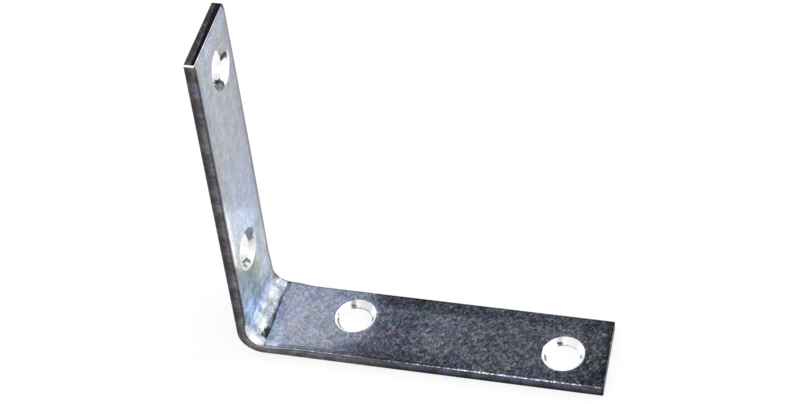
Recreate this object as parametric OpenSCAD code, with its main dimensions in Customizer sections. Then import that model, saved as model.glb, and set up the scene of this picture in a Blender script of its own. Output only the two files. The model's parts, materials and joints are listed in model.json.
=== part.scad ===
// Flat corner brace: one strip of plated steel, folded once to a right angle, with
// staggered screw holes countersunk on the inner face of each leg.
//
// The origin is the middle of the lying leg's footprint, on the surface it stands on.
// +X runs along the lying leg to its free end and +Z up the standing leg.

/* [Strip] */
// Width of the steel strip
strip_w = 19.05; // [14:0.05:30]
// Thickness of the steel strip
strip_t = 2.54; // [1.6:0.02:3.4]
// Rounding along the long edges of the strip
edge_r = 0.35; // [0.1:0.05:0.6]
// Chamfer round the cut ends of the strip
end_ease = 0.3; // [0.1:0.05:0.6]

/* [Legs] */
// Outside length of the leg that lies on the surface
lying_l = 78.7; // [60:0.1:160]
// Outside length of the leg that stands up
standing_l = 78.7; // [60:0.1:160]

/* [Fold] */
// Radius on the outside of the fold
fold_out_r = 5.3; // [4:0.1:7]
// Radius on the inside of the fold, at the edges of the strip
fold_in_r = 4; // [2.4:0.1:5]
// Distance from the outer corner to where the strip is flat again
fold_reach = 18; // [14:0.1:18]
// How far each inner edge is squeezed out sideways in the fold
edge_flare = 0.55; // [0:0.05:1]
// Height of the bead of squeezed metal along the inside of the fold
bead_h = 0.5; // [0:0.05:0.8]
// Height of the lumps on the bead
lump_h = 0.16; // [0:0.02:0.3]
// Spacing of the lumps along the bead
lump_pitch = 4.2; // [3:0.1:8]
// Depth of the crease between the bead and the lying leg
crease_depth = 0.25; // [0:0.05:0.5]
// Width of the crease, measured on the lying leg
crease_w = 0.8; // [0.4:0.1:2]

/* [Screw holes] */
// Diameter of the straight part of a screw hole
hole_d = 7; // [5:0.1:8]
// Diameter of a countersink where it meets the inner face
sink_d = 9.3; // [8.2:0.1:11]
// Angle between the two sides of a countersink
sink_angle = 100; // [80:1:110]
// Distance from the outer corner to the centre of the inner hole of each leg
inner_hole_at = 23.1; // [23:0.1:30]
// Distance from the end of a leg to the centre of its outer hole
end_gap = 9.6; // [8:0.1:16]
// Sideways shift of the holes from the middle of the strip
stagger = 1.75; // [0:0.05:2.5]

/* [Hidden] */
$fn = 96;

// Overlap of a cutting shape past what it cuts
cut_over = 1;
// Segments in one rounded edge, along the fold's curve, along each flat stretch and across
edge_steps = 3;
curve_steps = 14;
flat_steps = 6;
cross_steps = 24;

// How steeply the bead starts from the lying leg: 1 is even, and less is steeper
bead_lean = 0.6;
// How flat the bead stays towards its ends: 2 is round, and more is flatter
bead_flatness = 4;

half_w = strip_w / 2;
sink_depth = (sink_d - hole_d) / 2 / tan(sink_angle / 2);
in_tangent = strip_t + fold_in_r;

// One rounded edge of the strip's section, a quarter turn from angle start
function edge_arc(y, depth, start) = [
    for (i = [0:edge_steps])
        let (angle = start + 90 * i / edge_steps)
            [y + edge_r * cos(angle), depth + edge_r * sin(angle)]
];

// Points across the inner face, between its two rounded edges
inner_face = [
    for (i = [1:cross_steps - 1])
        [(half_w - edge_r) * (1 - 2 * i / cross_steps), strip_t]
];

// Section of the strip as [sideways, depth] pairs: depth 0 is the outer face
section = concat(
    edge_arc(edge_r - half_w, edge_r, 180),
    edge_arc(half_w - edge_r, edge_r, 270),
    edge_arc(half_w - edge_r, strip_t - edge_r, 0),
    inner_face,
    edge_arc(edge_r - half_w, strip_t - edge_r, 90)
);

// A smooth fall from 1 to 0 as u goes from 0 to 1
function fade(u) = (1 + cos(180 * u)) / 2;

// A station is a place along the strip: [outer point, inner point, direction from the outer
// face to the inner, flare, bead, crease, end cut]. The points and the direction are [x, z]
// pairs, and the last four are shares from 0 to 1.
function leg_station(x, cut) = [[x, 0], [x, strip_t], [0, 1], 0, 0, 0, cut];

function flat_station(u, crease) = [
    [fold_out_r * (1 - u) + fold_reach * u, 0],
    [in_tangent * (1 - u) + fold_reach * u, strip_t],
    [0, 1], fade(u), 0, crease, 0
];

function curve_station(angle, crease) =
    let (through = [sin(angle), cos(angle)])
        [
            [fold_out_r, fold_out_r] - fold_out_r * through,
            [in_tangent, in_tangent] - fold_in_r * through,
            through, 1, sin(180 * pow(angle / 90, bead_lean)), crease, 0
        ];

// The same station on the standing leg
function upright(station) = [
    for (i = [0:len(station) - 1])
        i < 3 ? [station[i].y, station[i].x] : station[i]
];

crease_u = crease_w / (fold_reach - in_tangent);
stations = concat(
    [leg_station(lying_l, 1), leg_station(lying_l - end_ease, 0)],
    [for (i = [0:flat_steps]) flat_station(1 - (1 - crease_u) * i / flat_steps, 0)],
    [for (i = [0:curve_steps]) curve_station(90 * i / curve_steps, i == 0 ? 1 : 0)],
    [for (i = [1:flat_steps]) upright(flat_station(i / flat_steps, 0))],
    [upright(leg_station(standing_l - end_ease, 0)), upright(leg_station(standing_l, 1))]
);

// Share of the bead left at a distance sideways: full in the middle, nothing at the edges
function crown(y) = 1 - pow(abs(y) / (half_w - edge_r), bead_flatness);

// How far a point of the inner face rises off the plain fold
function rise(y, bead, crease) = crown(y) * (
    bead * (bead_h + lump_h * cos(360 * y / lump_pitch)) - crease * crease_depth
);

// Place of the section's point p at a station
function strip_point(station, p) =
    let (
        outer = station[0],
        inner = station[1],
        through = station[2],
        flare = station[3] * edge_flare,
        trim = station[6] * end_ease,
        depth = trim + p.y * (1 - 2 * trim / strip_t),
        share = depth / strip_t,
        lift = p.y == strip_t ? rise(p.x, station[4], station[5]) : 0,
        at = outer * (1 - share) + inner * share + through * lift
    )
        [at.x, p.x * (1 + (flare * share - trim) / half_w), at.y];

// Two triangles between each pair of neighbouring points on neighbouring rings
function skin(rings, points) = [
    for (i = [0:rings - 2], j = [0:points - 1])
        let (a = i * points + j, b = i * points + (j + 1) % points)
            each [[a, a + points, b], [b, a + points, b + points]]
];

// The strip from the end of the lying leg, round the fold, to the end of the standing leg
module folded_strip() {
    count = len(section);
    last = (len(stations) - 1) * count;
    polyhedron(
        points = [for (s = stations, p = section) strip_point(s, p)],
        faces = concat(
            skin(len(stations), count),
            [[for (j = [0:count - 1]) j]],
            [[for (j = [count - 1:-1:0]) last + j]]
        )
    );
}

// Cutting shape of one screw hole, with its countersink opening upwards
module screw_hole(x, y) {
    translate([x, y, 0]) {
        translate([0, 0, -cut_over])
            cylinder(d = hole_d, h = strip_t + 2 * cut_over);
        translate([0, 0, strip_t - sink_depth])
            cylinder(
                d1 = hole_d,
                d2 = sink_d + 2 * cut_over * tan(sink_angle / 2),
                h = sink_depth + cut_over
            );
    }
}

// The two staggered holes of a leg; side is 1 or -1
module leg_holes(length, side) {
    screw_hole(inner_hole_at, side * stagger);
    screw_hole(length - end_gap, -side * stagger);
}

// Turns a leg that lies along X into one that stands along Z
module stand_up() {
    mirror([1, 0, -1])
        children();
}

module brace() {
    color([0.62, 0.66, 0.70])
        translate([-lying_l / 2, 0, 0])
            difference() {
                folded_strip();
                leg_holes(lying_l, 1);
                stand_up()
                    leg_holes(standing_l, -1);
            }
}

brace();
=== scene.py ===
import json
import math

import bmesh
import bpy
from mathutils import Matrix, Quaternion, Vector, noise

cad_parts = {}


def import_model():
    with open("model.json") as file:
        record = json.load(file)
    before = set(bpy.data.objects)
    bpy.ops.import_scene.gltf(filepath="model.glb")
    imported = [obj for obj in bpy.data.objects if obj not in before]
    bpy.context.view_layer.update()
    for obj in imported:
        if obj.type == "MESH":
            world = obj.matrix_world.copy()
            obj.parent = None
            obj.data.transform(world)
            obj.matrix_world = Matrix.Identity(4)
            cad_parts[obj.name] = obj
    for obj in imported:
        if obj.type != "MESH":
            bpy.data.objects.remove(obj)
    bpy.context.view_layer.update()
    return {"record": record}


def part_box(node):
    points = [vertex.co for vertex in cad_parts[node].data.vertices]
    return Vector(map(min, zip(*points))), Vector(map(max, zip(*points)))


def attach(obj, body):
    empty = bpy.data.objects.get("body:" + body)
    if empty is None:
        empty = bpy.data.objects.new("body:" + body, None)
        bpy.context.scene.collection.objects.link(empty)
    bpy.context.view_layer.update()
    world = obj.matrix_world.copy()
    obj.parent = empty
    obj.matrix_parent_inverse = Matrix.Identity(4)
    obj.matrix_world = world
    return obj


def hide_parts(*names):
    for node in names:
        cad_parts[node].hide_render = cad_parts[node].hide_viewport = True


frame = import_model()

MM = 0.001
brace_low, brace_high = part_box("brace")


# Camera: a long lens that looks down into the corner from in front and a little to the right,
# tipped so that the lying leg runs slightly down to the right. The angles are in degrees.
view_azimuth, view_elevation, view_roll = 17.39, 42.96, -5.94
view_distance = 358.4 * MM
aim_offset = Vector((-2.94, 0, 0.85)) * MM
lens_length = 80.8
nearest_seen = 10 * MM


def from_brace(azimuth, elevation):
    """The direction from the brace at an azimuth round it from the front and an elevation."""
    around, up = math.radians(azimuth), math.radians(elevation)
    return Vector((
        math.sin(around) * math.cos(up), -math.cos(around) * math.cos(up), math.sin(up),
    ))


camera_data = bpy.data.cameras.new("camera")
camera_data.lens = lens_length
camera_data.clip_start = nearest_seen
camera = bpy.data.objects.new("camera", camera_data)
towards_camera = from_brace(view_azimuth, view_elevation)
facing_camera = towards_camera.to_track_quat("Z", "Y")
camera.location = (brace_low + brace_high) / 2 + aim_offset + towards_camera * view_distance
camera.rotation_mode = "QUATERNION"
camera.rotation_quaternion = facing_camera @ Quaternion((0, 0, 1), math.radians(view_roll))
bpy.context.collection.objects.link(camera)
bpy.context.scene.camera = camera
bpy.context.scene.view_settings.view_transform = "Standard"


# Floor: a smooth pale studio sweep. It is flat round the brace and curves up on every side,
# like the rim of a shallow dish, so that no view shows where it ends.
floor_gap = 0.03 * MM
floor_radius = 900 * MM
rim_radius = 300 * MM
rim_height = 380 * MM
rim_steps = 10
floor_steps = 96
floor_merge = 0.01 * MM
floor_colour = (0.25, 0.25, 0.25, 1)
floor_glow = 0.76


def lathe(shape, profile, x, y, steps):
    """Spins a profile of (radius, height) points all the way round an upright axis."""
    line = [shape.verts.new((x + radius, y, height)) for radius, height in profile]
    edges = [shape.edges.new(pair) for pair in zip(line, line[1:])]
    bmesh.ops.spin(
        shape, geom=line + edges, cent=(x, y, 0), axis=(0, 0, 1), dvec=(0, 0, 0),
        angle=math.radians(360), steps=steps, use_merge=True,
    )


def build(name, shape):
    """Makes a finished bmesh into an object of the scene."""
    mesh = bpy.data.meshes.new(name)
    shape.to_mesh(mesh)
    shape.free()
    made = bpy.data.objects.new(name, mesh)
    bpy.context.collection.objects.link(made)
    return made


floor_profile = [(0, 0)]
for step in range(rim_steps + 1):
    turn = math.radians(90) * step / rim_steps
    floor_profile.append((
        floor_radius + rim_radius * math.sin(turn), rim_height * (1 - math.cos(turn)),
    ))
sweep = bmesh.new()
lathe(sweep, floor_profile, 0, 0, floor_steps)
bmesh.ops.remove_doubles(sweep, verts=sweep.verts, dist=floor_merge)
bmesh.ops.recalc_face_normals(sweep, faces=sweep.faces)
bmesh.ops.translate(sweep, verts=sweep.verts, vec=(0, 0, brace_low.z - floor_gap))
for face in sweep.faces:
    face.smooth = True
floor = build("floor", sweep)


def feed(socket, value):
    """Links a node's input to a value that is a socket too, or sets it to a plain value."""
    if isinstance(value, bpy.types.NodeSocket):
        socket.id_data.links.new(value, socket)
    else:
        socket.default_value = value


def add_node(tree, kind, **inputs):
    """Adds a node to a tree and feeds its inputs by name; spaces are written as _."""
    made = tree.nodes.new(kind)
    for name, value in inputs.items():
        feed(made.inputs[name.replace("_", " ")], value)
    return made


def tree_of(*values):
    """The node tree that the sockets among some values belong to."""
    return next(value.id_data for value in values if isinstance(value, bpy.types.NodeSocket))


def sums(operation, *values):
    """The result of a sum on up to three values, of which at least one is a socket."""
    made = tree_of(*values).nodes.new("ShaderNodeMath")
    made.operation = operation
    for socket, value in zip(made.inputs, values):
        feed(socket, value)
    return made.outputs[0]


# The floor's paper looks white to the camera, in mirrors and through clear things. It takes a
# soft shadow, and throws little light back on the brace.
floor_paper = bpy.data.materials.new("floor_paper")
floor_paper.use_nodes = True
tree = floor_paper.node_tree
tree.nodes.clear()
rays = add_node(tree, "ShaderNodeLightPath").outputs
seen = sums("MAXIMUM", rays["Is Camera Ray"], rays["Is Glossy Ray"])
seen = sums("MAXIMUM", seen, rays["Is Transmission Ray"])
glow = sums("MULTIPLY", seen, floor_glow)
paper = add_node(tree, "ShaderNodeBsdfDiffuse", Color=floor_colour)
shine = add_node(tree, "ShaderNodeEmission", Color=(1, 1, 1, 1), Strength=glow)
both = add_node(tree, "ShaderNodeAddShader")
feed(both.inputs[0], paper.outputs[0])
feed(both.inputs[1], shine.outputs[0])
add_node(tree, "ShaderNodeOutputMaterial", Surface=both.outputs[0])
floor.data.materials.append(floor_paper)


# Light: a plain white tent with softboxes all round. Two felt cards hang in it: a grey one high
# up behind the brace, for the lying leg and the bores to mirror, and a black one where the
# camera stands.
tent_white = (0.75, 0.75, 0.76, 1)
tent_radius = 1.0
softbox_places = {
    # name: (azimuth, elevation, width, height, brightness), where white is 1
    "front_left_softbox": (-14, 48, 0.5, 0.5, 1.6),
    "front_right_softbox": (55, 45, 0.68, 0.5, 1.6),
    "left_softbox": (-85, 24, 0.9, 0.6, 1.6),
    "right_softbox": (112, 23, 0.45, 0.25, 2.0),
    "back_right_softbox": (146, 38, 0.8, 0.7, 1.45),
}
camera_card_half, camera_card_grey = 0.17, 0.02
back_card_left, back_card_right, back_card_near, back_card_far = -0.268, 0.1, 0.45, 1.0
back_card_height, back_card_grey = 0.8, 0.36

for name, (azimuth, elevation, width, height, brightness) in softbox_places.items():
    lamp = bpy.data.lights.new(name, "AREA")
    lamp.shape = "RECTANGLE"
    lamp.size = width
    lamp.size_y = height
    lamp.energy = brightness * math.pi * width * height
    softbox = bpy.data.objects.new(name, lamp)
    softbox.location = from_brace(azimuth, elevation) * tent_radius
    softbox.rotation_mode = "QUATERNION"
    softbox.rotation_quaternion = from_brace(azimuth, elevation).to_track_quat("Z", "Y")
    softbox.visible_camera = False
    bpy.context.collection.objects.link(softbox)

tent = bpy.data.worlds.new("tent")
bpy.context.scene.world = tent
tent.use_nodes = True
background = tent.node_tree.nodes["Background"]
background.inputs["Color"].default_value = tent_white
background.inputs["Strength"].default_value = 1


def corners_of(left, right, low, high, height):
    """The four corners of a level rectangle, in turn."""
    level = (left, low), (right, low), (right, high), (left, high)
    return [Vector((*corner, height)) for corner in level]


camera_card = corners_of(
    -camera_card_half, camera_card_half, -camera_card_half, camera_card_half, tent_radius)
back_card = corners_of(
    back_card_left, back_card_right, back_card_near, back_card_far, back_card_height)
for name, grey, corners in (
    ("camera_card", camera_card_grey, [facing_camera @ corner for corner in camera_card]),
    ("back_card", back_card_grey, back_card),
):
    flat = bmesh.new()
    flat.faces.new([flat.verts.new(corner) for corner in corners])
    card = build(name, flat)
    felt = bpy.data.materials.new(name)
    felt.use_nodes = True
    felt.node_tree.nodes.clear()
    dull = add_node(felt.node_tree, "ShaderNodeBsdfDiffuse", Color=(grey, grey, grey, 1))
    add_node(felt.node_tree, "ShaderNodeOutputMaterial", Surface=dull.outputs[0])
    card.data.materials.append(felt)


# Brace: one strip of zinc-plated steel. It is sheared to length, punched and countersunk
# while flat, and then folded once in a press, which squeezes up a rough bead of metal along
# the inside of the fold. The blank lies along X, with its outer face down at Z = 0.
strip_w = 19.05 * MM
strip_t = 2.54 * MM
edge_round = 0.35 * MM
end_round = 0.3 * MM
out_radius = 5.3 * MM
half_w = strip_w / 2
half_fold = out_radius * math.pi / 4
leg_length = brace_high.x - brace_low.x
half_run = half_fold + leg_length - out_radius
hair_breadth = 0.001 * MM

corner_steps, end_steps = 5, 3
inner_columns, outer_columns, side_rows = 96, 24, 6
leg_step, fold_step = 0.5 * MM, 0.2 * MM
fine_reach = 8 * MM

# The sheared blank is drawn out along its length from its rounded section, in finer steps
# round the fold, and then its ends are rounded.
blank = bmesh.new()
corners = [
    blank.verts.new((-half_run, side * half_w, depth))
    for side, depth in ((-1, 0), (1, 0), (1, strip_t), (-1, strip_t))
]
blank.faces.new(corners)
bmesh.ops.bevel(
    blank, geom=corners, offset=edge_round, offset_type="OFFSET", segments=corner_steps,
    profile=0.5, affect="VERTICES", material=-1,
)


def lies_at(edge, axis, place):
    """True if both ends of an edge lie at a place along an axis."""
    return all(abs(vert.co[axis] - place) < hair_breadth for vert in edge.verts)


for axis, place, columns in (
    (2, strip_t, inner_columns),
    (2, 0, outer_columns),
    (1, half_w, side_rows),
    (1, -half_w, side_rows),
):
    straight = [edge for edge in blank.edges if lies_at(edge, axis, place)]
    bmesh.ops.subdivide_edges(blank, edges=straight, cuts=columns - 1)

front = list(blank.edges)
run = -half_run
while run < half_run - leg_step / 10:
    step = fold_step if abs(run + leg_step / 2) < fine_reach else leg_step
    step = min(step, half_run - run)
    drawn = bmesh.ops.extrude_edge_only(blank, edges=front)["geom"]
    moved = [item for item in drawn if isinstance(item, bmesh.types.BMVert)]
    front = [item for item in drawn if isinstance(item, bmesh.types.BMEdge)]
    bmesh.ops.translate(blank, verts=moved, vec=(step, 0, 0))
    run += step
bmesh.ops.contextual_create(blank, geom=front)
ends = [
    edge for edge in blank.edges
    if lies_at(edge, 0, -half_run) or lies_at(edge, 0, half_run)
]
bmesh.ops.bevel(
    blank, geom=ends, offset=end_round, offset_type="OFFSET", segments=end_steps, profile=0.5,
    affect="EDGES", material=-1,
)
bmesh.ops.recalc_face_normals(blank, faces=blank.faces)

# Each face is marked with the finish that it gets later.
ROLLED, SHEARED, SUNK = 0, 1, 2
for face in blank.faces:
    face.material_index = SHEARED if abs(face.normal.z) < 0.5 else ROLLED
blank_object = build("blank", blank)

# The screw holes, punched through and countersunk from the inner face. The rim of each
# countersink is eased a little, and each bore has a small chamfer at the outer face.
sink_radius = 4.65 * MM
rim_ease = 0.03 * MM
rim_slope = math.tan(math.radians(25))
back_chamfer = 0.1 * MM
cut_over = 1 * MM
hole_steps = 128
sunk_reach = 1.3 * sink_radius

bores = [mount for mount in frame["record"]["mounts"] if mount["kind"] == "bore"]
bore_radius = bores[0]["dims"]["r_mm"] * MM
sink_depth = strip_t - bores[0]["dims"]["length_mm"] * MM
sink_slope = (sink_radius - bore_radius) / sink_depth
holes = []
for bore in bores:
    place = Vector(bore["pos_m"])
    on_lying_leg = abs(bore["axis"][2]) > 0.5
    from_corner = place.x - brace_low.x if on_lying_leg else place.z
    hole_run = half_fold + from_corner - out_radius
    holes.append((hole_run if on_lying_leg else -hole_run, place.y))

# The countersinking tool ran off centre and out of round, more so on the standing leg.
rim_shapes = {
    # leg: (direction of the long axis, scale along it, scale across it, shift of the rim)
    "lying": (math.radians(80), 1.04, 0.95, Vector((0, 0.35, 0)) * MM),
    "standing": (math.radians(45), 1.16, 0.99, Vector((-0.18, 0.28, 0)) * MM),
}
hole_profile = [
    # (distance from the axis, depth)
    (0, -cut_over),
    (bore_radius + back_chamfer + cut_over, -cut_over),
    (bore_radius, back_chamfer),
    (bore_radius, strip_t - sink_depth),
    (sink_radius - rim_ease * sink_slope, strip_t - rim_ease),
    (sink_radius + cut_over / rim_slope, strip_t + cut_over),
    (0, strip_t + cut_over),
]
punch = bmesh.new()
for run, across in holes:
    lathe(punch, hole_profile, run, across, hole_steps)
    long_axis, stretch, squeeze, shift = rim_shapes["lying" if run > 0 else "standing"]
    rim = [
        vert for vert in punch.verts
        if vert.co.z > strip_t - sink_depth / 2 and abs(vert.co.x - run) < 2 * sink_radius
    ]
    about_hole = Matrix.Rotation(-long_axis, 4, "Z") @ Matrix.Translation((-run, -across, 0))
    bmesh.ops.scale(punch, verts=rim, vec=(stretch, squeeze, 1), space=about_hole)
    bmesh.ops.translate(punch, verts=rim, vec=shift)
bmesh.ops.remove_doubles(punch, verts=punch.verts, dist=hair_breadth)
bmesh.ops.recalc_face_normals(punch, faces=punch.faces)
punch_object = build("punch", punch)

# The punch is cut out of the blank, and the faces that it leaves are marked as sunk.
stamping = blank_object.modifiers.new("punching", "BOOLEAN")
stamping.operation = "DIFFERENCE"
stamping.solver = "EXACT"
stamping.object = punch_object
bpy.context.view_layer.update()
depsgraph = bpy.context.evaluated_depsgraph_get()
punched = bmesh.new()
punched.from_mesh(blank_object.evaluated_get(depsgraph).data)
for tool in (blank_object, punch_object):
    bpy.data.objects.remove(tool)
for face in punched.faces:
    middle = face.calc_center_median()
    off_axis = min(math.hypot(middle.x - run, middle.y - across) for run, across in holes)
    if off_axis < sunk_reach and hair_breadth < middle.z < strip_t - hair_breadth:
        face.material_index = SUNK

# Every point keeps its place on the flat blank, in millimetres, for the finishes to follow.
flat_place = punched.verts.layers.float_vector.new("blank")
for vert in punched.verts:
    vert[flat_place] = vert.co / MM

# The fold. The outer face turns round out_radius and the inner face round in_radius, and the
# inner edges are squeezed out sideways. The rough bead and its crease run along the inside.
in_radius = 4 * MM
in_tangent = strip_t + in_radius
fold_reach = 18 * MM
edge_flare = 0.55 * MM
flare_reach = 7 * MM
bead_height = 0.5 * MM
bead_lean = 0.7
bead_flatness = 4
bead_start, bead_end = math.radians(14), math.radians(94)
lump_height = 0.13 * MM
lump_pitch = 4.4 * MM
lump_wander = 1.4 * MM
lump_shortening = 2
crumple_height = 0.05 * MM
crumple_size = 1.6 * MM
crumple_shortening = 1.3
crumple_falloff, crumple_fineness, crumple_layers = 0.8, 2.2, 3
crease_depth = 0.22 * MM
crease_width = 0.45 * MM


def bead_lift(run, across, turn):
    """How far the bead and its crease lift the inner face, at an angle round the fold."""
    crown = max(0, 1 - abs(across / (half_w - edge_round)) ** bead_flatness)
    arc = min(1, max(0, (turn - bead_start) / (bead_end - bead_start)))
    swell = math.sin(math.pi * arc ** bead_lean)
    rough = noise.fractal(
        Vector((across, run * crumple_shortening, 0)) / crumple_size,
        crumple_falloff, crumple_fineness, crumple_layers,
    )
    wander = noise.noise(Vector((across, run * lump_shortening, 0)) / lump_pitch)
    lumps = math.cos(2 * math.pi * (across + lump_wander * wander) / lump_pitch)
    crease_run = half_fold - bead_start * out_radius
    groove = math.exp(-((run - crease_run) / crease_width) ** 2)
    height = bead_height + lump_height * lumps + crumple_height * rough
    return crown * (swell * height - groove * crease_depth)


def folded(run, across, depth):
    """Where a point of the flat blank lies once the strip is folded, from the outer corner."""
    share = depth / strip_t
    turn = math.pi / 4 - max(-math.pi / 4, min(math.pi / 4, run / out_radius))
    through = Vector((math.sin(turn), 0, math.cos(turn)))
    outer = Vector((out_radius, 0, out_radius)) - through * out_radius
    inner = Vector((in_tangent, 0, in_tangent)) - through * in_radius
    leg = Vector((1, 0, 0)) if run > 0 else Vector((0, 0, 1))
    beyond = max(0, abs(run) - half_fold)
    span = fold_reach - out_radius
    outer += leg * beyond
    if beyond > span:
        inner += leg * (beyond + out_radius - in_tangent)
    else:
        inner += leg * (beyond * (fold_reach - in_tangent) / span)
    flare = (1 + math.cos(math.pi * min(1, beyond / flare_reach))) / 2 * edge_flare * share
    place = outer * (1 - share) + inner * share
    place.y = across * (1 + flare / half_w)
    if depth > strip_t - hair_breadth:
        place += through * bead_lift(run, across, turn)
    return place


# The shears rolled over the end of the standing leg and cut both ends slightly askew, and the
# press gave the standing leg a slight twist.
shear_drop = 0.25 * MM
shear_reach = 1.3 * MM
standing_skew, lying_skew = 0.45 * MM, -0.35 * MM
skew_reach = 6 * MM
leg_twist = 0.35 * MM
sharp_angle = math.radians(28)

for vert in punched.verts:
    run, across, depth = vert.co
    if run < 0:
        rolled_over = max(0, 1 - (half_run + run) / shear_reach) ** 2
        depth *= 1 - rolled_over * shear_drop / strip_t
    place = folded(run, across, depth)
    far_share = 0.5 + across / strip_w
    skewed = far_share * max(0, 1 - (half_run - abs(run)) / skew_reach)
    if run < 0:
        place.x -= leg_twist * far_share * (place.z / leg_length) ** 3
        place.z += standing_skew * skewed
    else:
        place.x += lying_skew * skewed
    vert.co = place + Vector((brace_low.x, 0, brace_low.z))
bmesh.ops.recalc_face_normals(punched, faces=punched.faces)
for face in punched.faces:
    face.smooth = True
folded_brace = build("folded_brace", punched)
folded_brace.data.set_sharp_from_angle(angle=sharp_angle)


def start_finish(name):
    """A metal finish: its material, its shader, and each point's place on the flat blank.

    The place is in millimetres. It runs along the strip, from the standing leg below 0 to the
    lying leg, across it from the near edge below 0, and in depth from the outer face up.
    """
    finish = bpy.data.materials.new(name)
    finish.use_nodes = True
    tree = finish.node_tree
    metal = tree.nodes["Principled BSDF"]
    metal.inputs["Metallic"].default_value = 1
    place = tree.nodes.new("ShaderNodeAttribute")
    place.attribute_name = "blank"
    parts = add_node(tree, "ShaderNodeSeparateXYZ", Vector=place.outputs["Vector"])
    return finish, metal, place.outputs["Vector"], parts.outputs


def product(*factors):
    """The product of some values, of which one of the first two is a socket."""
    result = factors[0]
    for factor in factors[1:]:
        result = sums("MULTIPLY", result, factor)
    return result


def spread(value, low, high, to_low, to_high):
    """Turns values from low to high smoothly into to_low to to_high, and holds them there."""
    made = add_node(
        tree_of(value), "ShaderNodeMapRange",
        Value=value, From_Min=low, From_Max=high, To_Min=to_low, To_Max=to_high,
    )
    made.interpolation_type = "SMOOTHSTEP"
    return made.outputs["Result"]


def after(value, low, high):
    """A mask that is 0 up to low and 1 from high on."""
    return spread(value, low, high, 0.0, 1.0)


def before(value, low, high):
    """A mask that is 1 up to low and 0 from high on."""
    return spread(value, low, high, 1.0, 0.0)


def band(value, rise, fall):
    """A mask that is 1 between a rise and a fall, each given as where it starts and ends."""
    return product(after(value, *rise), before(value, *fall))


def by_leg(along, standing, lying):
    """One value on the standing leg and another on the lying leg, changing at the fold."""
    return spread(along, -1, 1, standing, lying)


def towards(start, mask, goal):
    """A value that is start where a mask is 0 and goal where it is 1."""
    made = mask.id_data.nodes.new("ShaderNodeMix")
    for socket, value in zip((made.inputs[0], *made.inputs[2:4]), (mask, start, goal)):
        feed(socket, value)
    return made.outputs[0]


def shaded(tone, mask, factor):
    """A tone that is multiplied by a factor where a mask is 1."""
    return product(tone, towards(1.0, mask, factor))


def mix(factor, first, second, blend="MIX"):
    """Mixes two colours; each is a socket, or a plain colour of three channels."""
    made = tree_of(factor, first, second).nodes.new("ShaderNodeMix")
    made.data_type = "RGBA"
    made.blend_type = blend
    for socket, value in zip((made.inputs[0], *made.inputs[6:8]), (factor, first, second)):
        feed(socket, (*value, 1) if isinstance(value, tuple) else value)
    return made.outputs[2]


def tinted(colour, mask, tint):
    """A colour that is multiplied by a tint where a mask is 1."""
    return mix(mask, colour, mix(1.0, colour, tint, "MULTIPLY"))


def ramp(factor, stops):
    """A colour ramp; each stop is (place, colour)."""
    made = add_node(tree_of(factor), "ShaderNodeValToRGB", Fac=factor)
    elements = made.color_ramp.elements
    while len(elements) < len(stops):
        elements.new(0.5)
    for element, (place, colour) in zip(elements, stops):
        element.position = place
        element.color = (*colour, 1)
    return made.outputs["Color"]


def clouds(place, size, stretch=(1, 1, 1), detail=3, rough=0.5):
    """Noise on the blank with features of a size in millimetres, drawn out by stretch."""
    mapping = add_node(tree_of(place), "ShaderNodeMapping", Vector=place)
    mapping.inputs["Scale"].default_value = [1 / size / pull for pull in stretch]
    made = add_node(
        tree_of(place), "ShaderNodeTexNoise",
        Vector=mapping.outputs[0], Scale=1.0, Detail=detail, Roughness=rough,
    )
    return made.outputs["Fac"]


def ragged(place, size, reach):
    """Noise round 0 that makes a straight border ragged."""
    return product(sums("SUBTRACT", clouds(place, size), 0.5), reach)


def cells(place, per_mm):
    """A random colour for each small cell of the blank, and that colour's channels."""
    made = add_node(tree_of(place), "ShaderNodeTexVoronoi", Vector=place, Scale=per_mm)
    colour = made.outputs["Color"]
    return colour, add_node(tree_of(colour), "ShaderNodeSeparateColor", Color=colour).outputs


def emboss(metal, height, strength, distance):
    """Gives a metal a fine relief from a height between 0 and 1."""
    made = add_node(
        tree_of(height), "ShaderNodeBump", Strength=strength, Distance=distance, Height=height)
    feed(metal.inputs["Normal"], made.outputs["Normal"])


# Rolled faces: bright zinc under a clear chromate, with blue, lavender and green tints. It is
# mottled, grained and specked, with painted glints, and darker towards the edges. The press left
# it rough at the foot of the standing leg. Painted light and shade follow: a painted glare above
# the foot, a painted white reflection on the bead and painted shade in the crease.
rolled, metal, place, (along, across, depth) = start_finish("rolled_zinc")
cells_per_mm, fine_cells_per_mm = 1.75, 3.2
speck_brightness, spark_brightness = 1.4, 4.2
smoothest, dullest = 0.09, 0.18
foot_roughness, bead_roughness = 0.22, 0.5
crumple_share = 1.1
grain_depth = 0.02 * MM
height = sums("MULTIPLY", along, -1.0)
sideways = sums("ABSOLUTE", across)
on_standing = by_leg(along, 1.0, 0.0)
on_lying = by_leg(along, 0.0, 1.0)

# The mottling is a little wider across the strip than along it, and calmer on the standing leg.
wide_place = add_node(
    rolled.node_tree, "ShaderNodeCombineXYZ", X=product(along, by_leg(along, 1.15, 1.08)),
    Y=product(across, by_leg(along, 0.87, 0.85)), Z=depth,
).outputs["Vector"]
colour = ramp(clouds(wide_place, 5, (1.3, 1, 1), 4, 0.6), [
    (0.3, (0.37, 0.40, 0.49)),
    (0.42, (0.41, 0.42, 0.53)),
    (0.5, (0.38, 0.45, 0.54)),
    (0.58, (0.43, 0.44, 0.49)),
    (0.7, (0.41, 0.46, 0.48)),
])
patchy = spread(clouds(wide_place, 1.5, (1.5, 1, 1), 3, 0.6), 0.3, 0.7, 0.86, 1.14)
cell_colour, cell_chance = cells(wide_place, cells_per_mm)
_, spark_chance = cells(wide_place, fine_cells_per_mm)
grain = clouds(wide_place, 0.44, detail=2, rough=0.7)
coarse = after(along, 14, 30)
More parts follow.
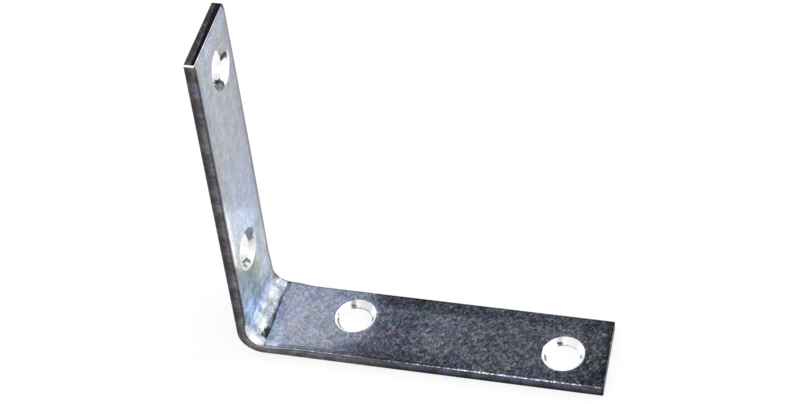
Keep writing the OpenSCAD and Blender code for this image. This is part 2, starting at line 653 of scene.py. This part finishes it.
# Specks and sparks: bright dots in the colour, partly the zinc's own sparkle and partly painted
# glints.
specks = product(after(cell_chance["Blue"], 0.93, 0.99), coarse, speck_brightness)
sparks = product(
    after(spark_chance["Red"], 0.95, 0.98), spread(along, 36, 66, 0.0, spark_brightness))
colour = mix(spread(coarse, 0, 1, 0.07, 0.3), colour, cell_colour, "SOFT_LIGHT")
uneven = product(
    spread(cell_chance["Red"], 0, 1, 0.82, 1.18), spread(grain, 0.3, 0.7, 0.78, 1.22))
uneven = towards(uneven, coarse, product(uneven, uneven))
calm = product(
    on_standing,
    sums("MAXIMUM", spread(along, -27, -21, 0.45, 0.0), spread(across, 0, 3, 0.0, 0.45)),
)
uneven = towards(uneven, calm, 1.0)
tone = product(patchy, sums("ADD", uneven, sums("ADD", specks, sparks)))

# Painted sheen: the lying leg is painted pale near the fold, where it mirrors the light, up to a
# slanting border, and painted darkest just beyond it. It is also darker towards its long edges
# and its free end.
past_sheen = sums("SUBTRACT", along, spread(across, -8, -2, 18, 25))
near_darkening = spread(across, -8.6, -4.5, 0.42, 0.0)
far_darkening = spread(across, 4.8, 6.8, 0.0, 0.5)
rim_darkening = spread(sideways, 8.6, 9.0, 0.0, 0.75)
edge_darkening = product(
    sums("MAXIMUM", sums("MAXIMUM", near_darkening, far_darkening), rim_darkening),
    spread(after(along, 20, 29), 0, 1, 0.2, 1.0), spread(along, 42, 52, 1.0, 0.6), on_lying,
)
# lying_tone holds the painted sheen and the darkening towards the edges and the free end.
lying_tone = product(
    spread(past_sheen, -2.5, 4.5, 1.3, 0.7), spread(along, 33, 41, 1.0, 1.72),
    spread(along, 44, 54, 1.0, 0.93), spread(along, 70, 73, 1.0, 0.68),
    spread(along, 75.5, 77, 1.0, 0.55), sums("SUBTRACT", 1.0, edge_darkening),
)
lying_tone = shaded(lying_tone, after(along, 67, 70), spread(across, -5, 0, 0.8, 1.0))
tone = shaded(tone, on_lying, lying_tone)
colour = tinted(colour, on_lying, (0.96, 0.98, 1.07))

# The standing leg is a little darker all over, darker along its far edge and a little darker
# along its near edge high up, with painted highlights: a brighter stretch along the far edge
# below the inner hole, and a lighter band at its top end.
standing_tone = product(
    0.86, spread(height, 73, 77, 1.0, 1.3), spread(across, 4.5, 6.5, 1.0, 0.88),
    spread(across, 7.8, 8.8, 1.0, 0.45),
)
standing_tone = shaded(standing_tone, after(height, 40, 46), spread(across, -9, -7, 0.86, 1.0))
tone = shaded(tone, on_standing, standing_tone)
tone = shaded(tone, band(height, (22, 30), (42, 54)), spread(across, 7.2, 8.4, 1.0, 0.7))
# Painted highlight: the brighter stretch along the far edge.
tone = shaded(tone, band(height, (12, 15), (19, 25)), spread(across, 5.2, 6.6, 1.0, 1.28))
tone = shaded(tone, after(height, 28, 34), spread(across, -3, 0, 0.98, 0.92))
plain_colour, plain_tone = colour, tone

# Painted glare on the standing leg: a patch painted lighter, low on the far side, higher and
# whitest near.
softly = ragged(place, 4, 6.0)
ragged_height = sums("ADD", height, softly)
patch_low = sums("ADD", spread(across, -9, -6, 24, 20.8), spread(across, 0.5, 3, 0.0, -7.0))
patch_high = sums("MULTIPLY_ADD", across, -0.9, 32.5)
painted_glare = product(
    after(sums("SUBTRACT", ragged_height, patch_low), -1.2, 1.2),
    before(sums("SUBTRACT", ragged_height, patch_high), -2.5, 2.5),
    spread(across, 2.8, 5.0, 1.0, 0.3), spread(across, -8.7, -7.0, 1.5, 0.5),
)
tone = product(tone, sums("ADD", painted_glare, 1.0))
bluish = product(
    band(height, (22, 28), (38, 52)), after(across, -6, -3.5), spread(across, 2, 8, 1.0, 0.5))
colour = tinted(colour, bluish, (1.0, 1.08, 1.22))
neutral = product(band(height, (17, 20), (36, 46)), before(across, -7.5, -5))
colour = tinted(colour, neutral, (1.0, 0.99, 0.9))

# The rounded rims, with painted light and shade: dotted painted highlights along the near edge
# of the lying leg, painted shade on the other rims and on the near rim close to the fold, and a
# painted dark line just inside that rim.
near_rim = before(across, -9.35, -9.1)
far_rim = after(across, 9.0, 9.2)
dots = product(
    spread(clouds(place, 0.5, detail=2), 0.48, 0.62, 0.0, 2.6), spread(along, 24, 36, 0.15, 1.0))
tone = product(tone, sums("MULTIPLY_ADD", product(near_rim, on_lying), dots, 1.0))
# Painted shade on the far rims, the standing leg's near rim, under the rims, at the top rim,
# along the line inside the near rim and on the near rim beside the fold.
tone = shaded(tone, sums("MAXIMUM", far_rim, product(near_rim, on_standing)), 0.4)
under_rim = product(before(depth, 0.12, 0.32), after(sideways, 9.0, 9.2), after(along, 24, 34))
tone = shaded(tone, under_rim, 0.45)
top_rim = after(height, 77.1, 77.4)
tone = shaded(tone, top_rim, spread(across, -6, 2, 0.9, 0.72))
off_inner_line = sums("ABSOLUTE", sums("ADD", across, 8.55))
inner_line = product(before(off_inner_line, 0.1, 0.3), band(along, (5, 8), (18, 30)))
tone = shaded(tone, inner_line, 0.55)
low_rim = product(before(across, -9.0, -8.7), band(along, (2.5, 3.5), (18, 28)))
tone = shaded(tone, low_rim, 0.52)

# The foot of the standing leg: rough, greenish and smeared, painted lighter low down and in
# painted shade on its near half, with a painted glow low on the far side and a painted blue
# reflection beside the bead.
foot = band(along, (-28, -22), (2, 4))
foot_light = product(
    band(along, (-15, -11), (-3, -1)), spread(clouds(place, 4, detail=2), 0.42, 0.62, 0.25, 1.0))
tone = shaded(tone, foot_light, 1.4)
# Painted shade on the near half of the foot.
foot_shade = product(band(along, (-23, -18), (-6.5, -3.5)), before(across, -0.5, 2))
tone = shaded(tone, foot_shade, spread(across, -8.5, -4, 0.92, 0.76))
smears = spread(clouds(place, 1.8, (1.5, 1, 1), 3, 0.55), 0.32, 0.68, 0.7, 1.3)
smeared = product(foot, spread(height, 13, 18, 1.0, 0.25), spread(across, 0, 3, 1.0, 0.4))
tone = shaded(tone, smeared, smears)
# Painted glow: a pale blue tint, brighter than the zinc, low on the far side of the foot.
foot_glow = product(band(height, (4, 7), (9.5, 13)), after(across, 0.5, 3))
colour = tinted(colour, foot_glow, (1.22, 1.34, 1.38))
greenish = product(
    foot, spread(clouds(place, 3.2), 0.36, 0.56, 0.5, 1.0), spread(across, 1, 4, 1.0, 0.35),
    before(along, -1, 0.5),
)
colour = tinted(colour, greenish, (0.93, 1.03, 0.82))
# Painted reflection: a blue patch beside the bead.
blue_border = sums("ADD", along, spread(across, -6.5, 2, 11.0, 3.9))
blue = product(
    after(sums("MULTIPLY_ADD", softly, 0.4, blue_border), -1.6, 1.6), before(along, -3.4, -2.4),
    spread(across, -9.2, -6.5, 0.3, 1.0), spread(clouds(place, 1.8), 0.36, 0.56, 0.45, 1.0),
)
colour = mix(blue, colour, (0.56, 0.72, 0.96))

# The bead: painted white as a reflection of the light, lumpy with painted shade between the
# lumps, between torn borders, with a lavender margin towards the foot.
far_bend = sums("MAXIMUM", sums("SUBTRACT", across, 3.0), 0.0)
bead_left = sums("MULTIPLY_ADD", product(far_bend, far_bend), 0.085, -3.3)
bead_right = sums("ADD", spread(across, -7, 3.5, 1.4, 2.6), spread(across, 5, 9, 0.0, -0.9))
lumps = sums("COSINE", product(across, 2 * math.pi * MM / lump_pitch))
torn = ragged(place, 1.3, 2.4)
onto_bead = sums("ADD", sums("SUBTRACT", along, bead_left), torn)
bites = sums("MULTIPLY_ADD", lumps, 0.35, sums("MULTIPLY", torn, -1.1))
off_bead = sums("SUBTRACT", sums("SUBTRACT", along, bead_right), bites)
bead = product(after(onto_bead, -0.5, 0.5), before(off_bead, -0.3, 0.3))
bead_reflection_colour = ramp(clouds(place, 2.0), [
    (0.34, (0.62, 0.69, 0.82)),
    (0.44, (0.76, 0.84, 0.93)),
    (0.56, (0.82, 0.89, 0.94)),
    (0.68, (0.90, 0.92, 0.92)),
])
bead_shade = product(spread(lumps, -1, 0, 0.76, 1.0), spread(along, -1.0, 1.2, 1.0, 0.56))
bead_reflection_colour = mix(1.0, bead_reflection_colour, bead_shade, "MULTIPLY")
bead_reflection_colour = mix(spread(onto_bead, 0.3, 1.4, 0.8, 0.0), bead_reflection_colour, (0.60, 0.68, 0.93))
colour = mix(bead, colour, bead_reflection_colour)
tone = towards(tone, product(bead, 0.28), by_leg(along, 0.9, 1.25))

# A painted white highlight on the corner that is squeezed out at the bead's near end, between a
# painted light spot and a painted dark spot.
corner = product(
    before(sums("MULTIPLY_ADD", torn, 0.15, across), -8.3, -7.8),
    after(sums("SUBTRACT", along, across), 2.6, 3.4), before(along, 0.6, 2.8),
)
corner_highlight_colour = ramp(clouds(place, 0.8), [
    (0.35, (0.82, 0.78, 0.80)),
    (0.5, (0.98, 0.98, 0.98)),
])
colour = mix(corner, colour, corner_highlight_colour)
light_beside_corner = product(before(across, -8.8, -7.6), band(along, (2.8, 3.6), (5.0, 8.5)))
tone = shaded(tone, light_beside_corner, 1.25)
shade_past_corner = product(before(across, -8.2, -7.7), band(along, (1.0, 1.9), (3.0, 3.8)))
tone = shaded(tone, shade_past_corner, 0.8)

# Painted shade in the crease, where the bead overhangs it: thick and nearly black at its near
# end, a thin line beyond the middle, and softer painted shade on the lying leg beside it.
crease_end = sums("ADD", along, ragged(place, 0.9, 1.2))
# Painted shade of the crease, thickest at its near end.
scale = product(
    after(off_bead, -0.25, 0.25), before(crease_end, 3.0, 3.6), after(across, -7.7, -6.9),
    spread(across, 5.5, 8.0, 1.0, 0.2), spread(across, -5.2, -3.4, 0.95, 0.5),
    after(depth, 2.4, 2.5), spread(clouds(place, 0.8, detail=2), 0.35, 0.5, 0.75, 1.0),
)
tone = shaded(tone, scale, 0.0)
off_line = sums("SUBTRACT", sums("MULTIPLY_ADD", torn, 0.35, along), 2.95)
off_line = sums("ABSOLUTE", sums("MULTIPLY_ADD", lumps, 0.12, off_line))
far_line = product(
    spread(off_line, 0.12, 0.45, 0.55, 0.0), after(across, -4, -2),
    spread(across, 5.5, 8, 1.0, 0.3),
)
tone = shaded(tone, far_line, 0.0)
crease_shade = product(
    band(along, (2.6, 3.2), (3.2, 6.5)), spread(across, -3, 2, 0.42, 0.14),
    after(across, -8, -7),
)
tone = shaded(tone, crease_shade, 0.0)

# One thin curved scratch across the lying leg.
scratch_bend = sums("MULTIPLY_ADD", product(across, across), -0.035, 31.65)
scratch_line = sums("MULTIPLY_ADD", across, 0.24, scratch_bend)
off_scratch = sums("ABSOLUTE", sums("SUBTRACT", along, scratch_line))
scratch = product(spread(off_scratch, 0.06, 0.2, 0.75, 0.0), band(across, (-2, -1), (2, 3)))
tone = shaded(tone, scratch, 0.0)

# The painted highlight on the squeezed-out corner keeps a plain full tone. The press marks, the
# scratch and the painted light and shade above are on the inner face only, and the outer face is
# plain.
tone = towards(tone, corner, 1.0)
inner_face = after(depth, 0.8, 1.6)
colour = mix(inner_face, plain_colour, colour)
tone = towards(plain_tone, inner_face, tone)
feed(metal.inputs["Base Color"], mix(1.0, colour, tone, "MULTIPLY"))
rough_bead = product(sums("MAXIMUM", bead, corner), bead_roughness)
worked = sums("MAXIMUM", product(foot, foot_roughness), rough_bead)
polished = spread(cell_chance["Green"], 0, 1, smoothest, dullest)
feed(metal.inputs["Roughness"], sums("MULTIPLY_ADD", worked, inner_face, polished))
crumple = product(inner_face, bead, clouds(place, 1.3, detail=2), crumple_share)
emboss(metal, sums("ADD", grain, crumple), 1.0, grain_depth)

# Sheared edges: torn dark steel under thin zinc, streaked across the thickness in brown, green
# and purple, and darkest towards the free end of the lying leg. Their light and shade are
# painted too: lighter near the inner face, with painted shade along the rims and low on the
# lying leg, and painted light low down beside the fold.
sheared, metal, place, (along, across, depth) = start_finish("sheared_edge")
sheared_roughness = 0.42
streak_strength, streak_depth = 0.3, 0.05 * MM
colour = ramp(clouds(place, 1.6, (1, 1, 1.8), 4, 0.7), [
    (0.32, (0.0776, 0.0970, 0.1760)),
    (0.39, (0.1261, 0.0873, 0.1705)),
    (0.46, (0.0970, 0.1164, 0.1045)),
    (0.53, (0.1455, 0.1067, 0.1155)),
    (0.6, (0.0922, 0.1261, 0.1265)),
    (0.68, (0.1455, 0.1213, 0.1980)),
])
colour = tinted(colour, after(along, 26, 36), (0.87, 0.97, 1.2))
streaks = spread(clouds(place, 0.6, (1, 1, 2.2), 4, 0.65), 0.3, 0.7, 0.68, 1.32)
tone = product(
    streaks, spread(clouds(place, 2.6, (1, 1, 1.4)), 0.32, 0.68, 0.66, 1.34),
    spread(depth, 0.6, 2.0, 0.55, 1.3), spread(along, 20, 32, 1.0, 0.6),
)
# Painted shade along the standing leg's inner rim and low on the lying leg further out; beside
# the fold, painted shade on the inner rim and painted light low down.
tone = shaded(tone, by_leg(along, 1.0, 0.0), spread(depth, 2.0, 2.3, 1.0, 0.45))
tone = shaded(tone, after(along, 28, 38), spread(depth, 0.3, 1.2, 0.4, 1.0))
near_fold = product(by_leg(along, 0.0, 1.0), before(along, 22, 34))
tone = shaded(tone, near_fold, product(
    spread(depth, 2.1, 2.3, 1.0, 0.62), spread(depth, 0.4, 1.0, 1.5, 1.0)))

# The cut ends are browner, flecked near the outer face, and black towards the inner face and the
# far side. The near corner of the standing leg's end has a painted white highlight.
end_at = (half_run - end_round) / MM
on_end = after(sums("ABSOLUTE", along), end_at - 0.1, end_at + 0.1)
colour = mix(on_end, colour, mix(0.6, colour, (0.15, 0.105, 0.125)))
flecks = product(
    spread(clouds(place, 0.7, (1, 1, 1.6), 2), 0.6, 0.7, 0.0, 1.8), on_end,
    before(depth, 1.2, 1.7),
)
tone = product(tone, sums("ADD", flecks, 1.0))
slanting_depth = sums("ADD", depth, spread(across, -5, 9, 0.0, 0.5))
burr = sums(
    "MAXIMUM", spread(slanting_depth, 1.4, 1.85, 0.0, 0.96), spread(across, 8.6, 9.0, 0.0, 0.9))
tone = shaded(tone, product(on_end, burr), 0.0)
colour = mix(1.0, colour, tone, "MULTIPLY")
near_corner_highlight = product(
    before(along, -0.06 - end_at, 0.14 - end_at), before(across, -9.34, -9.22))
colour = mix(near_corner_highlight, colour, (0.95, 0.95, 0.95))
feed(metal.inputs["Base Color"], colour)
metal.inputs["Roughness"].default_value = sheared_roughness
emboss(metal, streaks, streak_strength, streak_depth)

# Countersinks and bores: pressed smooth and bright, with painted reflections of dark things and
# of the camera: dark spots where each cone meets its bore, larger on the standing leg, where the
# cone is also painted a duller grey beside them.
sunk, metal, place, (along, across, depth) = start_finish("bright_countersink")
sunk_roughness = 0.4
soft_angle, soft_depth = 5, 0.12
# The painted reflections, as marks in the holes of each leg.
reflection_marks = {
    # leg: (middle angle, half its reach, depths from and to past the junction, colour, strength
    # on the inner hole, strength on the outer hole) of each mark, in degrees and millimetres.
    # Its borders are soft by soft_angle and soft_depth on either side.
    "lying": [
        (110, 7, 0.2, 1.1, (0.42, 0.42, 0.42), 1.0, 0.6),
        (110, 8, -0.04, 0.42, (0.05, 0.04, 0.05), 0.9, 1.0),
        (100, 22, -0.09, 0.07, (0.34, 0.32, 0.35), 1.0, 1.0),
        (58, 40, -0.09, 0.06, (0.38, 0.34, 0.34), 1.0, 0.7),
        (-152, 36, 0.1, 0.5, (0.13, 0.16, 0.14), 1.0, 0.0),
        (172, 8, 0.2, 0.8, (0.14, 0.16, 0.15), 0.8, 0.0),
        (-172, 20, 0.05, 0.6, (0.18, 0.20, 0.19), 0.0, 1.0),
        (10, 8, -0.02, 0.38, (0.12, 0.12, 0.14), 1.0, 0.8),
    ],
    "standing": [
        (-108, 31, -0.3, 1.2, (0.13, 0.14, 0.125), 0.3, 1.0),
        (-92, 6, -0.6, 0.1, (0.09, 0.09, 0.13), 1.0, 0.0),
        (-80, 6, -0.2, 0.85, (0.09, 0.09, 0.13), 1.0, 0.0),
        (-106, 7, 0.0, 0.7, (0.14, 0.14, 0.18), 1.0, 0.0),
        (-92, 10, -0.9, 0.1, (0.02, 0.02, 0.03), 0.0, 1.0),
        (-80, 7, -0.1, 0.75, (0.02, 0.02, 0.03), 0.0, 1.0),
        (36, 31, -0.25, 1.2, (0.33, 0.41, 0.49), 1.0, 0.0),
        (36, 31, -0.25, 1.2, (0.42, 0.45, 0.43), 0.0, 1.0),
        (52, 6, 0.1, 1.0, (0.75, 0.75, 0.73), 0.0, 0.9),
        (66, 7, 0.3, 1.2, (0.22, 0.25, 0.22), 0.3, 0.9),
        (-2, 11, -0.15, 0.75, (0.05, 0.035, 0.04), 0.75, 1.0),
        (16, 12, -0.25, 0.05, (0.30, 0.22, 0.23), 0.6, 0.8),
    ],
}
colour = ramp(clouds(place, 0.5), [(0.3, (0.97, 0.97, 0.98)), (0.6, (0.99, 0.99, 0.99))])

# Each point is placed by its direction from the axis of the hole that it is on, and by its
# depth past the junction of the cone and the bore.
hole_runs = [abs(run) / MM for run, _ in holes]
inner_run, outer_run = min(hole_runs), max(hole_runs)
halfway = (inner_run + outer_run) / 2
stagger = abs(holes[0][1]) / MM
junction = (strip_t - sink_depth) / MM
run = sums("ABSOLUTE", along)
on_outer_hole = after(run, halfway - 1, halfway + 1)
outward = sums("SUBTRACT", run, spread(on_outer_hole, 0, 1, inner_run, outer_run))
hole_side = product(sums("SIGN", along), spread(on_outer_hole, 0, 1, stagger, -stagger))
sidewards = sums("SUBTRACT", across, hole_side)
wobble = ragged(place, 0.9, 0.4)
level = sums("ADD", sums("SUBTRACT", depth, junction), wobble)
blotches = spread(clouds(place, 0.5, detail=2), 0.36, 0.56, 0.8, 1.0)
for leg, up, over, on_leg in (
    ("lying", sidewards, outward, by_leg(along, 0.0, 1.0)),
    ("standing", outward, sidewards, by_leg(along, 1.0, 0.0)),
):
    around = sums("ADD", sums("ARCTAN2", up, over), wobble)
    for middle, reach, low, high, mark_colour, on_inner, on_outer in reflection_marks[leg]:
        off = sums("ABSOLUTE", sums("SUBTRACT", around, math.radians(middle)))
        mark = product(
            on_leg, spread(on_outer_hole, 0, 1, on_inner, on_outer), blotches,
            before(off, math.radians(reach - soft_angle), math.radians(reach + soft_angle)),
            after(level, low - soft_depth, low + soft_depth),
            before(level, high - soft_depth, high + soft_depth),
        )
        colour = mix(mark, colour, mark_colour)
feed(metal.inputs["Base Color"], colour)
metal.inputs["Roughness"].default_value = sunk_roughness

for finish in (rolled, sheared, sunk):
    folded_brace.data.materials.append(finish)
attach(folded_brace, "root")
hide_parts("brace")
